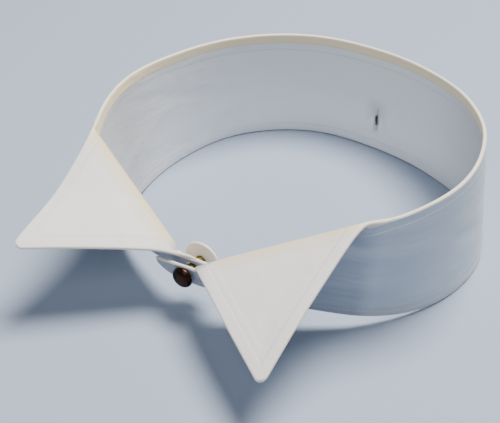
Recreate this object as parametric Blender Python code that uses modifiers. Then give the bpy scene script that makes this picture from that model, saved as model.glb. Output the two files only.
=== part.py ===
"""A detachable wing collar of starched linen, closed into a ring by a collar stud.

The ring stands on its lower edge with +Z up. The front, where the stud is, faces -Y, and the back buttonhole
is at +Y. Sizes are in millimetres and are measured from the centre of the neck until the pieces are placed.
The end that comes round from +X laps outside the end that comes round from -X.
"""

import math
from collections import namedtuple

import bmesh
import bpy
from mathutils import Vector

MM = 0.001

# Centre of the neck, measured from the middle of the whole collar's outline on the ground
NECK_CENTRE = Vector((-1.35, 13.9, 0))

# Cloth
CLOTH_THICKNESS = 1.3
FOLD_RADIUS = 1.3
COLUMN_STEP = 4.6
BAND_ROWS = 6
FOLD_ROWS = 4
WING_ROWS = 9
FOLD_COLUMNS = 13
TONGUE_COLUMNS = 9
TONGUE_CROWDING = 1.5
SAME_PLACE = 0.01

# Each wing
TIP_RADIUS = 2.3
TIP_ROW_SHARES = (0.5, 0.8, 0.95)
WING_BOW = 1.0

# Each front tongue, measured from the end of the fold
TONGUE_LENGTH = 16.0
TONGUE_DEPTH = 8.2
TONGUE_NOSE = 12.0
TONGUE_END_DEPTH = 1.3
TONGUE_LEAN = math.radians(16)

# Lower edge: flat on the ground as far round as REST_ANGLE from the back, then lifting towards the front
REST_ANGLE = 92
FRONT_LIFT = 4.2
REST_BAND = 0.5

# How strongly the lower edge under each fold follows the band behind it and the tongue ahead of it
LEAVING_PULL = 0.6
ARRIVING_PULL = 0.3

# Buttonholes
FRONT_HOLE_HALF_WIDTH = 2.9
FRONT_HOLE_HALF_HEIGHT = 2.2
FRONT_HOLE_REACH = 9
BACK_HOLE_HALF_WIDTH = 0.6
BACK_HOLE_HALF_HEIGHT = 3.6
BACK_HOLE_REACH = 12
BACK_HOLE_SHARE = 0.293
HOLE_SIDES = 24

# Stud, whose axis runs from the head to the back plate
STUD_HEAD_CENTRE = Vector((-2.7, -64.35, 15.9))
STUD_PLATE_CENTRE = Vector((-2.8, -52.7, 16.2))
PLATE_RADIUS = 6.35
PLATE_THICKNESS = 1.7
POST_RADIUS = 1.8
HEAD_RADIUS = 3.6
HEAD_THICKNESS = 2.6
SEAT_GAP = 0.3
STUD_STEPS = 40
AXIS_MERGE = 0.00001

# Turned profiles as shares of the radius and of half the thickness, from the back of the stud to its front
Ring = namedtuple("Ring", "radius depth")
PLATE_PROFILE = [
    Ring(0, 1),
    Ring(0.55, 0.9),
    Ring(0.9, 0.45),
    Ring(1, -0.1),
    Ring(0.985, -0.6),
    Ring(0.9, -0.86),
    Ring(0.5, -0.98),
    Ring(0, -1),
]
HEAD_PROFILE = [
    Ring(0, 1),
    Ring(0.8, 1),
    Ring(0.96, 0.75),
    Ring(1, 0.4),
    Ring(0.94, -0.1),
    Ring(0.78, -0.55),
    Ring(0.5, -0.86),
    Ring(0.22, -0.98),
    Ring(0, -1),
]

# Plan and height of the band from the start of one fold to the start of the other. The angle is from the back.
Station = namedtuple("Station", "angle low_radius top_radius top_height")
RING = [
    Station(-130, 61.4, 68.8, 43.6),
    Station(-104, 61.2, 65.0, 47.3),
    Station(-78, 62.9, 59.6, 48.3),
    Station(-52, 66.9, 60.9, 46.9),
    Station(-26, 66.5, 64.6, 44.3),
    Station(0, 61.8, 63.0, 43.0),
    Station(26, 61.7, 59.8, 44.3),
    Station(52, 65.4, 59.5, 46.9),
    Station(78, 66.4, 63.1, 48.2),
    Station(104, 63.6, 67.1, 47.3),
    Station(130, 59.2, 65.6, 43.5),
]
FOLD_ANGLE = RING[-1].angle

# Each front: where its fold ends, where its wing tip would be if it were sharp, how far the wing's outer edge
# is hollowed and dips, and the way its tongue runs on
Front = namedtuple("Front", "side fold_end wing_tip edge_hollow edge_dip tongue_heading tongue_drop")
LEFT = Front(
    side=-1,
    fold_end=Vector((-6.8, -58.9, 20.2)),
    wing_tip=Vector((-46.2, -93.4, 27.9)),
    edge_hollow=1.3,
    edge_dip=2.4,
    tongue_heading=Vector((0.993, 0.115, 0)),
    tongue_drop=0.8,
)
RIGHT = Front(
    side=1,
    fold_end=Vector((1.5, -62.4, 19.9)),
    wing_tip=Vector((45.4, -92.9, 17.4)),
    edge_hollow=0.3,
    edge_dip=0.0,
    tongue_heading=Vector((-1.0, 0.025, 0)),
    tongue_drop=1.7,
)


def clear_scene():
    for old in list(bpy.data.objects):
        bpy.data.objects.remove(old, do_unlink=True)


def new_collection(name, hidden):
    collection = bpy.data.collections.new(name)
    collection.hide_render = hidden
    bpy.context.scene.collection.children.link(collection)
    return collection


def plain_material(name, colour, roughness, metallic=0.0):
    material = bpy.data.materials.new(name)
    material.use_nodes = True
    shader = material.node_tree.nodes["Principled BSDF"]
    shader.inputs["Base Color"].default_value = (*colour, 1)
    shader.inputs["Roughness"].default_value = roughness
    shader.inputs["Metallic"].default_value = metallic
    return material


def smooth_through(values, place):
    """A smooth curve through evenly spaced values; place is counted in steps from the first."""
    last = len(values) - 1
    i = min(max(int(math.floor(place)), 0), last - 1)
    t = place - i
    here, ahead = values[i], values[i + 1]
    behind = values[i - 1] if i > 0 else 2 * here - ahead
    beyond = values[i + 2] if i + 2 <= last else 2 * ahead - here
    bend = 2 * behind - 5 * here + 4 * ahead - beyond
    swing = 3 * (here - ahead) + beyond - behind
    return here + 0.5 * t * (ahead - behind + t * (bend + t * swing))


def smooth_between(start, start_pull, end, end_pull, t):
    """A curve that leaves start along start_pull and reaches end along end_pull."""
    square, cube = t * t, t * t * t
    return (
        start * (2 * cube - 3 * square + 1)
        + start_pull * (cube - 2 * square + t)
        + end * (3 * square - 2 * cube)
        + end_pull * (cube - square)
    )


def from_back(angle, radius, height):
    turn = math.radians(angle)
    return Vector((radius * math.sin(turn), radius * math.cos(turn), height))


def low_point(angle):
    """A point on the band's lower edge."""
    place = (angle - RING[0].angle) / (RING[1].angle - RING[0].angle)
    radius = smooth_through([station.low_radius for station in RING], place)
    lift = max(0.0, abs(angle) - REST_ANGLE) / (FOLD_ANGLE - REST_ANGLE)
    return from_back(angle, radius, FRONT_LIFT * lift**2)


def top_point(angle):
    """A point on the band's top edge."""
    place = (angle - RING[0].angle) / (RING[1].angle - RING[0].angle)
    radius = smooth_through([station.top_radius for station in RING], place)
    height = smooth_through([station.top_height for station in RING], place)
    return from_back(angle, radius, height)


def tongue_down(front):
    """The way down the face of a tongue, which leans out at the top."""
    heading = front.tongue_heading
    inward = Vector((heading.y, -heading.x, 0)) * front.side
    return inward.normalized() * math.sin(TONGUE_LEAN) - Vector((0, 0, math.cos(TONGUE_LEAN)))


def band_under_fold(front, share):
    """(lower, upper) points of the band under the fold, from its start at 0 to its end at 1."""
    upper = top_point(front.side * FOLD_ANGLE).lerp(front.fold_end, share)
    start = low_point(front.side * FOLD_ANGLE)
    before = low_point(front.side * (FOLD_ANGLE - 1))
    end = front.fold_end + tongue_down(front) * TONGUE_DEPTH
    reach = (end - start).length
    start_pull = (start - before).normalized() * reach * LEAVING_PULL
    end_pull = front.tongue_heading.normalized() * reach * ARRIVING_PULL
    return smooth_between(start, start_pull, end, end_pull, share), upper


def tongue(front, share):
    """(lower, upper) points of the tongue, from the end of the fold at 0 to its own end at 1."""
    along = share * TONGUE_LENGTH
    upper = front.fold_end + front.tongue_heading.normalized() * along
    upper.z -= front.tongue_drop * share
    into_nose = max(0.0, along - (TONGUE_LENGTH - TONGUE_NOSE)) / TONGUE_NOSE
    depth = TONGUE_DEPTH * math.sqrt(max(0.0, 1 - into_nose**2))
    return upper + tongue_down(front) * max(depth, TONGUE_END_DEPTH), upper


def band_columns():
    """(lower, upper) points of each column of the band, from the end of one tongue to the end of the other."""
    widest = max(station.low_radius for station in RING)
    steps = math.ceil(math.radians(2 * FOLD_ANGLE) * widest / COLUMN_STEP)
    tongue_shares = [1 - (1 - k / TONGUE_COLUMNS) ** TONGUE_CROWDING for k in range(1, TONGUE_COLUMNS + 1)]
    fold_shares = [k / FOLD_COLUMNS for k in range(FOLD_COLUMNS + 1)]
    columns = [tongue(LEFT, share) for share in reversed(tongue_shares)]
    columns += [band_under_fold(LEFT, share) for share in reversed(fold_shares)]
    for k in range(1, steps):
        angle = FOLD_ANGLE * (2 * k / steps - 1)
        columns.append((low_point(angle), top_point(angle)))
    columns += [band_under_fold(RIGHT, share) for share in fold_shares]
    columns += [tongue(RIGHT, share) for share in tongue_shares]
    return columns


class Wing:
    """One turned-over wing, laid out flat by the distance along its fold and the distance away from it."""

    def __init__(self, front):
        self.front = front
        self.start = top_point(front.side * FOLD_ANGLE)
        self.length = (front.fold_end - self.start).length
        self.along = (front.fold_end - self.start) / self.length
        self.foot = (front.wing_tip - self.start).dot(self.along)
        reach = front.wing_tip - self.start - self.along * self.foot
        up, out = self.across(self.foot)
        angle = math.atan2(reach.dot(out), reach.dot(up))
        self.turn = angle - math.asin(FOLD_RADIUS * (math.cos(angle) - 1) / reach.length)
        self.flat = up * math.cos(self.turn) + out * math.sin(self.turn)
        self.depth = reach.dot(self.flat) - FOLD_RADIUS * (math.sin(self.turn) - self.turn)
        self.outer_slope = self.foot / self.depth
        self.front_slope = (self.length - self.foot) / self.depth
        self.tip_half_angle = 0.5 * (math.atan(self.outer_slope) + math.atan(self.front_slope))
        self.tip_centre = TIP_RADIUS / math.sin(self.tip_half_angle)

    def across(self, place):
        """Up the band and out of it, both square to the fold, at a distance along the fold."""
        lower, upper = band_under_fold(self.front, min(max(place / self.length, 0), 1))
        up = upper - lower
        up = (up - self.along * up.dot(self.along)).normalized()
        out = self.along.cross(up).normalized()
        if out.dot(Vector((upper.x, upper.y, 0))) < 0:
            out.negate()
        return up, out

    def edges(self, away):
        """Where the wing's outer and front edges lie along the fold, at a distance away from it."""
        left = self.depth - away
        middle = self.foot + left * (self.front_slope - self.outer_slope) / 2
        half = left * (self.front_slope + self.outer_slope) / 2
        if left < self.tip_centre - TIP_RADIUS * math.sin(self.tip_half_angle):
            chord = math.sqrt(TIP_RADIUS**2 - (self.tip_centre - left) ** 2)
            half *= chord / (left * math.tan(self.tip_half_angle))
        hollow = self.front.edge_hollow * math.sin(math.pi * away / self.depth) ** 2
        return middle - half + hollow, middle + half

    def point(self, place, away):
        """The point on the wing that lies flat at these distances along the fold and away from it."""
        up, out = self.across(place)
        turn = math.atan2(self.flat.dot(out), self.flat.dot(up))
        bent = min(away / FOLD_RADIUS, turn)
        base = self.start + self.along * place
        base += (up * math.sin(bent) + out * (1 - math.cos(bent))) * FOLD_RADIUS
        straight = away - FOLD_RADIUS * turn
        if straight <= 0:
            return base
        face = self.along.cross(self.flat)
        if face.z < 0:
            face.negate()
        first, last = self.edges(away)
        outer = min(max((last - place) / (last - first), 0), 1)
        middle = math.sin(math.pi * away / self.depth)
        lift = WING_BOW * middle - self.front.edge_dip * (outer * middle) ** 2
        return base + self.flat * straight + face * lift

    def rows(self):
        """Distances away from the fold for each row of the wing, round the fold and on to the tip."""
        round_fold = [FOLD_RADIUS * self.turn * k / FOLD_ROWS for k in range(FOLD_ROWS + 1)]
        first = round_fold[-1]
        touch = self.depth - self.tip_centre + TIP_RADIUS * math.sin(self.tip_half_angle)
        far = self.depth - self.tip_centre + TIP_RADIUS
        flat = [first + (touch - first) * k / WING_ROWS for k in range(1, WING_ROWS + 1)]
        return round_fold + flat + [touch + (far - touch) * share for share in TIP_ROW_SHARES]


def shaped_grid(mesh, columns, rows, place):
    """Adds a grid with that many points each way, and puts each point where place(column, row) says."""
    made = bmesh.ops.create_grid(mesh, x_segments=columns - 1, y_segments=rows - 1, size=1)["verts"]
    for vert in made:
        column = round((vert.co.x + 1) / 2 * (columns - 1))
        row = round((vert.co.y + 1) / 2 * (rows - 1))
        vert.co = place(column, row)


def cloth_surface():
    """The middle surface of the whole cloth as one open sheet."""
    mesh = bmesh.new()
    columns = band_columns()

    def band_place(column, row):
        lower, upper = columns[column]
        return lower.lerp(upper, row / (BAND_ROWS - 1))

    shaped_grid(mesh, len(columns), BAND_ROWS, band_place)
    for front in (LEFT, RIGHT):
        wing = Wing(front)
        away = wing.rows()

        def wing_place(column, row):
            first, last = wing.edges(away[row]) if row else (0, wing.length)
            return wing.point(first + (last - first) * column / FOLD_COLUMNS, away[row])

        shaped_grid(mesh, FOLD_COLUMNS + 1, len(away), wing_place)
    bmesh.ops.remove_doubles(mesh, verts=mesh.verts, dist=SAME_PLACE)
    bmesh.ops.recalc_face_normals(mesh, faces=mesh.faces)
    bmesh.ops.scale(mesh, vec=(MM, MM, MM), verts=mesh.verts)
    return mesh


def object_from(name, mesh, centre, collection):
    """Makes an object of the mesh, with its own centre at that place from the centre of the neck."""
    data = bpy.data.meshes.new(name)
    mesh.to_mesh(data)
    mesh.free()
    made = bpy.data.objects.new(name, data)
    made.location = (centre + NECK_CENTRE) * MM
    collection.objects.link(made)
    return made


def settle_modifiers(made):
    """Replaces an object's mesh by the one its modifiers give."""
    bpy.context.view_layer.update()
    graph = bpy.context.evaluated_depsgraph_get()
    finished = bpy.data.meshes.new_from_object(made.evaluated_get(graph))
    finished.name = made.name
    made.modifiers.clear()
    made.data = finished


def flat_rest(made):
    """Brings the edge that rests onto one level."""
    for vert in made.data.vertices:
        angle = math.degrees(math.atan2(vert.co.x, vert.co.y))
        if vert.co.z < REST_BAND * MM and abs(angle) < REST_ANGLE:
            vert.co.z = 0


def stud_turn():
    axis = (STUD_PLATE_CENTRE - STUD_HEAD_CENTRE).normalized()
    return axis.to_track_quat("Z", "Y").to_euler()


def oval_cutter(name, half_width, half_height, reach, centre, turn, collection):
    """An oval bar along its own Z axis."""
    mesh = bmesh.new()
    bmesh.ops.create_cone(mesh, cap_ends=True, segments=HOLE_SIDES, radius1=1, radius2=1, depth=reach * MM)
    bmesh.ops.scale(mesh, vec=(half_width * MM, half_height * MM, 1), verts=mesh.verts)
    cutter = object_from(name, mesh, centre, collection)
    cutter.rotation_euler = turn
    cutter.display_type = "WIRE"
    cutter.hide_render = True
    return cutter


def cut(made, cutter):
    modifier = made.modifiers.new("cut " + cutter.name, "BOOLEAN")
    modifier.operation = "DIFFERENCE"
    modifier.solver = "EXACT"
    modifier.object = cutter


def make_cloth(collection, cutters):
    cloth = object_from("collar_cloth", cloth_surface(), Vector((0, 0, 0)), collection)
    wall = cloth.modifiers.new("cloth thickness", "SOLIDIFY")
    wall.thickness = CLOTH_THICKNESS * MM
    wall.offset = 0
    wall.use_even_offset = True
    settle_modifiers(cloth)
    flat_rest(cloth)
    cloth.data.shade_smooth()
    cloth.data.materials.append(plain_material("starched linen", (0.72, 0.70, 0.66), 0.55))
    front_centre = (STUD_HEAD_CENTRE + STUD_PLATE_CENTRE) / 2
    front_size = (FRONT_HOLE_HALF_WIDTH, FRONT_HOLE_HALF_HEIGHT, FRONT_HOLE_REACH)
    cut(cloth, oval_cutter("front_buttonholes", *front_size, front_centre, stud_turn(), cutters))
    back_centre = low_point(0).lerp(top_point(0), BACK_HOLE_SHARE)
    back_size = (BACK_HOLE_HALF_WIDTH, BACK_HOLE_HALF_HEIGHT, BACK_HOLE_REACH)
    back_turn = (math.radians(-90), 0, 0)
    cut(cloth, oval_cutter("back_buttonhole", *back_size, back_centre, back_turn, cutters))


def sized(profile, radius, thickness):
    return [Ring(ring.radius * radius, ring.depth * thickness / 2) for ring in profile]


def turned_piece(name, profile, centre, material, collection):
    """A round piece turned about the stud's axis from its profile in millimetres."""
    mesh = bmesh.new()
    verts = [mesh.verts.new((ring.radius * MM, 0, ring.depth * MM)) for ring in profile]
    for first, second in zip(verts, verts[1:]):
        mesh.edges.new((first, second))
    piece = object_from(name, mesh, centre, collection)
    piece.rotation_euler = stud_turn()
    piece.data.materials.append(material)
    spin = piece.modifiers.new("turned", "SCREW")
    spin.steps = STUD_STEPS
    spin.render_steps = STUD_STEPS
    spin.use_merge_vertices = True
    spin.merge_threshold = AXIS_MERGE
    spin.use_smooth_shade = True


def make_stud(collection):
    bone = plain_material("bone", (0.80, 0.74, 0.60), 0.45)
    brass = plain_material("brass", (0.55, 0.42, 0.15), 0.35, 1.0)
    copper = plain_material("darkened copper", (0.16, 0.07, 0.05), 0.35, 1.0)
    plate = sized(PLATE_PROFILE, PLATE_RADIUS, PLATE_THICKNESS)
    head = sized(HEAD_PROFILE, HEAD_RADIUS, HEAD_THICKNESS)
    turned_piece("stud_plate", plate, STUD_PLATE_CENTRE, bone, collection)
    turned_piece("stud_head", head, STUD_HEAD_CENTRE, copper, collection)
    between = (STUD_PLATE_CENTRE - STUD_HEAD_CENTRE).length
    start = head[0].depth + SEAT_GAP
    end = between + plate[-1].depth - SEAT_GAP
    post = [Ring(0, end), Ring(POST_RADIUS, end), Ring(POST_RADIUS, start), Ring(0, start)]
    turned_piece("stud_post", post, STUD_HEAD_CENTRE, brass, collection)


def main():
    clear_scene()
    collar = new_collection("detachable_wing_collar", False)
    cutters = new_collection("cutters", True)
    make_cloth(collar, cutters)
    make_stud(collar)


main()
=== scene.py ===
"""The looks of a detachable wing collar: its starched linen, its stitching and buttonholes, and its stud.

Lengths are in millimetres, measured from the centre of the neck, until a piece is placed.
"""

import math
from collections import namedtuple

import bmesh
import bpy
from mathutils import Matrix, Vector, noise
from mathutils.bvhtree import BVHTree
from mathutils.kdtree import KDTree


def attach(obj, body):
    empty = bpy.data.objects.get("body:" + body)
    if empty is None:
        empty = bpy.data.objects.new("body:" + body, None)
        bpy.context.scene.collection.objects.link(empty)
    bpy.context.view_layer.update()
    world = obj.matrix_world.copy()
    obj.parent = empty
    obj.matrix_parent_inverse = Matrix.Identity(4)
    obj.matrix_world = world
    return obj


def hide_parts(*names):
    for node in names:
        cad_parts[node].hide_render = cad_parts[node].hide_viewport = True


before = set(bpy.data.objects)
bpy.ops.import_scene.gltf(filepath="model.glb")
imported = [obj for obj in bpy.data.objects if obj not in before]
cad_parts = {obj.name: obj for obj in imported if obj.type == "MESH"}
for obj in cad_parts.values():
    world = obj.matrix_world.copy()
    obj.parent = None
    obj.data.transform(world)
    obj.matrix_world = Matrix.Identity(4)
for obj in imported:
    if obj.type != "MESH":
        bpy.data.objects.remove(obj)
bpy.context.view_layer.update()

MM = 0.001
NECK_CENTRE = Vector((-1.35, 13.9, 0))

# Cloth
CLOTH_THICKNESS = 1.3
COLUMN_STEP = 1.5
BODY_ROWS = 40
FOLD_ROWS = 12
WING_ROWS = 30
FOLD_COLUMNS = 40
TONGUE_COLUMNS = 16
TONGUE_CROWDING = 1.5
EDGE_STEPS = (0.0, 0.05, 0.18, 0.4, 0.7)
EDGE_SHARES = (0.0, 0.02, 0.05, 0.1, 0.16)
EDGE_FLOOR = 0.1
SAME_PLACE = 0.004
SHARP_ANGLE = math.radians(50)

# Long shallow ripples all over the band, and how the creases die away towards its edges
RIPPLE_LIFT = 0.16
RIPPLE_SCALE = 0.045
RESTING_EDGE = 3.0
STILL_EDGE_SHARE = 0.35
FREE_FROM_EDGE = 6

# Each fold, which is softer near its start and tighter at its end
FOLD_RADIUS = 1.3
FOLD_END_RADIUS = 0.6
FOLD_END_REACH = 6.0
FOLD_ROLL = 0.3
FOLD_ROLL_PLACE = 4.0
FOLD_ROLL_REACH = 6.0

# The narrow turned edge that leads from the rim into each fold, and out of the left one: its length, how fast
# it widens, how soon it turns with the rim, its rows, and how far the wing's own edges follow it
LEAD_REACH = 10.0
LEAD_GROWTH = 2.2
LEAD_TURN = 5.0
LEAD_ROWS = 10
LEAD_FADE = 3.0

# Each wing
TIP_RADIUS = 2.3
TIP_ROW_SHARES = (0.2, 0.38, 0.54, 0.68, 0.8, 0.89, 0.955, 0.99)
WING_BOW = 1.0

# Each front tongue, measured from the end of the fold
TONGUE_LENGTH = 16.0
TONGUE_DEPTH = 8.2
TONGUE_NOSE = 12.0
TONGUE_END_DEPTH = 1.3
TONGUE_LEAN = math.radians(16)

# Lower edge
REST_ANGLE = 92
FRONT_LIFT = 4.2

# How strongly the lower edge under each fold follows the band behind it and the tongue ahead of it
LEAVING_PULL = 0.6
ARRIVING_PULL = 0.3

# Back buttonhole: its middle, how far it reaches and gapes, and how far round it the cloth gives way
BACK_HOLE_HEIGHT = 12.6
BACK_HOLE_HALF_LENGTH = 5.4
BACK_HOLE_GAPE = 0.05
BACK_HOLE_SHUT = 0.02
BACK_HOLE_GAPE_REACH = 1.7
BACK_HOLE_EASE = 2.2
BACK_HOLE_COLUMNS = 4

# Front buttonholes, round the post of the stud
FRONT_HOLE_HALF_WIDTH = 2.4
FRONT_HOLE_HALF_HEIGHT = 2.05
FRONT_HOLE_REACH = 9
HOLE_SIDES = 40

# Seams, as distances in from the edge, and where along the band the upper ones end
TOP_SEAM = 3.6
LOW_SEAM = 2.6
WING_SEAM = 4.4
WING_SEAM_START = 1.5
WING_SEAM_STEPS = 60
ROOM_FOR_SEAM = 2.2
SEAM_SLACK = 0.05
LINES_END = 142.0

# Stitches
STITCH_PITCH = 1.55
STITCH_LENGTH = 1.2
STITCH_WIDTH = 0.16
STITCH_HEIGHT = 0.07
STITCH_SIDES = 8
STITCH_RINGS = 4
LEAST_FACING = 0.5

# Threads that bind the lips of the back buttonhole, and the bar across each of its ends
LIP_STITCHES = 30
LIP_STITCH_LENGTH = 0.9
LIP_STITCH_WIDTH = 0.36
LIP_STITCH_HEIGHT = 0.06
LIP_MARGIN = 0.6
BAR_GAP = 0.35
BAR_WIDTH = 0.4
BAR_HEIGHT = 0.07

# Stud
STUD_HEAD_CENTRE = Vector((-2.7, -64.35, 15.9))
STUD_PLATE_CENTRE = Vector((-2.8, -52.7, 16.2))
PLATE_RADIUS = 6.35
PLATE_THICKNESS = 1.7
POST_RADIUS = 1.8
HEAD_RADIUS = 3.6
HEAD_THICKNESS = 2.6
SEAT_GAP = 0.3
STUD_STEPS = 96
PROFILE_STEPS = 5

# Turned profiles as shares of the radius and of half the thickness, from the back of the stud to its front
Ring = namedtuple("Ring", "radius depth")
PLATE_BACK = ((0, 1), (0.55, 0.9), (0.9, 0.45), (1, -0.1))
PLATE_FRONT = ((0.985, -0.6), (0.9, -0.86), (0.5, -0.98), (0, -1))
PLATE_PROFILE = [Ring(*ring) for ring in PLATE_BACK + PLATE_FRONT]
HEAD_BACK = ((0, 1), (0.8, 1), (0.96, 0.75), (1, 0.4))
HEAD_DOME = ((0.94, -0.1), (0.78, -0.55), (0.5, -0.86), (0.22, -0.98), (0, -1))
HEAD_PROFILE = [Ring(*ring) for ring in HEAD_BACK + HEAD_DOME]

# Colours that cloud from the first to the second
# The outer face: painted shade and a painted blue reflection, darker and bluer than the same linen inside
SHADED_OUTER_LINEN = ((0.50, 0.565, 0.645), (0.575, 0.63, 0.70))
PALE_LINEN = ((0.79, 0.805, 0.82), (0.85, 0.865, 0.875))
WARM_LINEN = ((0.78, 0.765, 0.725), (0.84, 0.825, 0.785))
THREAD = ((0.66, 0.64, 0.58), (0.80, 0.78, 0.72))
BONE = ((0.93, 0.85, 0.72), (0.96, 0.91, 0.82))
DARK_COPPER = ((0.015, 0.008, 0.006), (0.040, 0.016, 0.011))
# Brass darkened with painted shade, where the post sits between the cloth layers
SHADED_BRASS = ((0.13, 0.10, 0.03), (0.27, 0.20, 0.065))

# Colours of single places
SHADED_BY_WING = (0.38, 0.43, 0.54)
# Painted shade on the outer and inner faces of the front tongues
OUTER_TONGUE_SHADE = (0.26, 0.30, 0.39)
INNER_TONGUE_SHADE = (0.34, 0.35, 0.43)
# Lighter low on the inner face of the back
LIGHTER_LOW_BACK = (0.90, 0.93, 0.96)
# Painted shade on the inner face towards each end of the band
LEFT_END_SHADE = (0.50, 0.50, 0.52)
RIGHT_END_SHADE = (0.54, 0.525, 0.54)
STREAKED = (0.72, 0.75, 0.79)
# Painted highlight along a line on the outer face below the top edge
HIGHLIGHT_LINE = (0.93, 0.92, 0.89)
AGED_TOP = (0.96, 0.79, 0.49)
AGED_FOLD = (0.82, 0.68, 0.43)
WORN_EDGE = (0.90, 0.83, 0.69)
# Painted shadow of the ledge below the top seam, on the inner face
LEDGE_SHADOW_GREY = (0.56, 0.56, 0.57)
SEAM_LINE = (0.54, 0.51, 0.46)
# Painted shade on the pinched cloth round the back buttonhole
PINCH_SHADE = (0.53, 0.56, 0.63)
# Painted shade in the shut slit of the back buttonhole
SLIT_SHADE = (0.30, 0.32, 0.38)
# Painted highlight on the lips of the back buttonhole
LIP_HIGHLIGHT = (0.97, 0.97, 0.96)
# Painted deep shade in the middle of the back buttonhole's slit
SLIT_DEEP_SHADE = (0.02, 0.025, 0.045)
BONE_SPECKS = (0.46, 0.34, 0.18)
RUBBED_COPPER = (0.16, 0.08, 0.06)

# Where the linen's colours and threads change, in millimetres. Each pair says where a change starts and ends.
TONGUE_START = 194.0
# How far below the top edge the painted highlight line lies
HIGHLIGHT_LINE_GAP = 3.7
# How far below the top edge the painted ledge shadow lies
LEDGE_SHADOW_LINE = 6.6
WING_FROM = (1.0, 3.5)
AGED_TOP_TO = (4.2, 3.3)
AGED_FOLD_TO = (8.0, 0.0)
WORN_EDGE_TO = (0.75, 0.35)
WEAVE_FROM_EDGE = (0.2, 1.6)
SECOND_LEDGE = (6.4, 5.4)
# Where the painted deep shade of the slit ends
SLIT_DEEP_SHADE_TO = (2.9, 1.3)
WARP_PITCH = 0.46
WEFT_PITCH = 0.42
SHADED_FROM = (112, 138)
# Where the inner back is lighter, up the band and along it
LIGHTER_LOW_BACK_UP = (26, 7)
LIGHTER_LOW_BACK_TO = (95, 50)
# Where the painted shade on the inner face starts towards each end
LEFT_END_SHADE_FROM = (-92, -122)
RIGHT_END_SHADE_FROM = (20, 72)
# How far the painted shade round the back buttonhole reaches
PINCH_SHADE_TO = (6.5, 1.0)

# Streaks per millimetre along the band and up it
STREAKS_ALONG = 0.02
STREAKS_UP = 0.16

# Heights of the relief of the linen, in metres
IRONED_HEIGHT = 0.0006
LEDGE_HEIGHT = 0.00012
WEAVE_HEIGHT = 0.00003

# How many of each sort of mark lie in a metre of linen
CLOUDS_PER_METRE = 38
PATCHES_PER_METRE = 110
SLUBS_PER_METRE = 420
IRONING_PER_METRE = 60

# Camera
CAMERA_PLACE = Vector((151.3, -241.3, 212.2))
CAMERA_AZIMUTH = math.radians(34.07)
CAMERA_ELEVATION = math.radians(34.92)
CAMERA_ROLL = math.radians(-0.795)
CAMERA_LENS = 71.94
CAMERA_NEAREST = 0.01

# Floor and lights, in metres and watts. Each light looks at the middle of the floor.
FLOOR_HALF_SIZE = 4.0
FLOOR_GAP = 0.0002
FLOOR_COLOUR = (0.33, 0.39, 0.50)
ROOM_COLOUR = (0.80, 0.88, 1.0, 1)
ROOM_BRIGHTNESS = 0.19
Light = namedtuple("Light", "name place size power colour")
LIGHTS = [
    Light("key", (0.16, 0.30, 1.02), 0.55, 27.3, (1.0, 0.97, 0.92)),
    Light("fill", (-0.75, -0.55, 0.55), 0.8, 1.2, (0.93, 0.96, 1.0)),
    Light("front", (0.25, -0.75, 0.85), 0.5, 2.6, (0.95, 0.97, 1.0)),
]

# Plan and height of the band from the start of one fold to the start of the other. Angles are from the back.
Station = namedtuple("Station", "angle low_radius top_radius top_height")
RING = [
    Station(-130, 61.4, 68.8, 43.6),
    Station(-104, 61.2, 65.0, 47.3),
    Station(-78, 62.9, 59.6, 48.3),
    Station(-52, 66.9, 60.9, 46.9),
    Station(-26, 66.5, 64.6, 44.3),
    Station(0, 61.8, 63.0, 43.0),
    Station(26, 61.7, 59.8, 44.3),
    Station(52, 65.4, 59.5, 46.9),
    Station(78, 66.4, 63.1, 48.2),
    Station(104, 63.6, 67.1, 47.3),
    Station(130, 59.2, 65.6, 43.5),
]
FOLD_ANGLE = RING[-1].angle

# Each front: where its fold ends, where its wing tip would be if it were sharp, how far the wing's outer edge
# is hollowed and dips, the way its tongue goes, and whether the wing's front edge runs on into its rim
Front = namedtuple("Front", "side fold_end wing_tip edge_hollow edge_dip tongue_heading tongue_drop runs_on")
LEFT = Front(
    side=-1,
    fold_end=Vector((-6.8, -58.9, 20.2)),
    wing_tip=Vector((-46.2, -93.4, 27.9)),
    edge_hollow=1.3,
    edge_dip=2.4,
    tongue_heading=Vector((0.993, 0.115, 0)),
    tongue_drop=0.8,
    runs_on=True,
)
RIGHT = Front(
    side=1,
    fold_end=Vector((1.5, -62.4, 19.9)),
    wing_tip=Vector((45.4, -92.9, 17.4)),
    edge_hollow=0.3,
    edge_dip=0.0,
    tongue_heading=Vector((-1.0, 0.025, 0)),
    tongue_drop=1.7,
    runs_on=False,
)

# Soft creases in the band: along from the centre back, up from the lower edge, half length, half width, lift
# outwards, and the turn of their length away from level
Crease = namedtuple("Crease", "along up length width lift turn")
CREASES = [
    Crease(0, 12.6, 9.0, 1.5, 0.34, 90),
    Crease(-3.0, 10.6, 2.6, 1.5, -0.75, 60),
    Crease(3.0, 11.0, 2.8, 1.5, -0.7, 105),
    Crease(-1.6, 18.4, 4.2, 1.1, 0.42, 100),
    Crease(1.7, 5.6, 3.6, 1.0, 0.42, 80),
    Crease(74, 34, 30, 2.0, 0.2, 8),
    Crease(104, 24, 26, 3.4, -0.26, 24),
    Crease(122, 15, 22, 2.6, 0.22, 14),
    Crease(92, 9, 20, 2.4, -0.2, -6),
    Crease(60, 19, 24, 3.0, 0.18, -14),
    Crease(36, 28, 18, 3.2, -0.14, 10),
    Crease(-34, 26, 22, 3.0, 0.16, -8),
    Crease(-58, 17, 24, 3.6, -0.2, 12),
    Crease(-88, 30, 26, 3.0, 0.2, -16),
    Crease(-112, 20, 22, 2.6, -0.22, 20),
    Crease(-128, 10, 16, 2.4, 0.18, 6),
]

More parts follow.
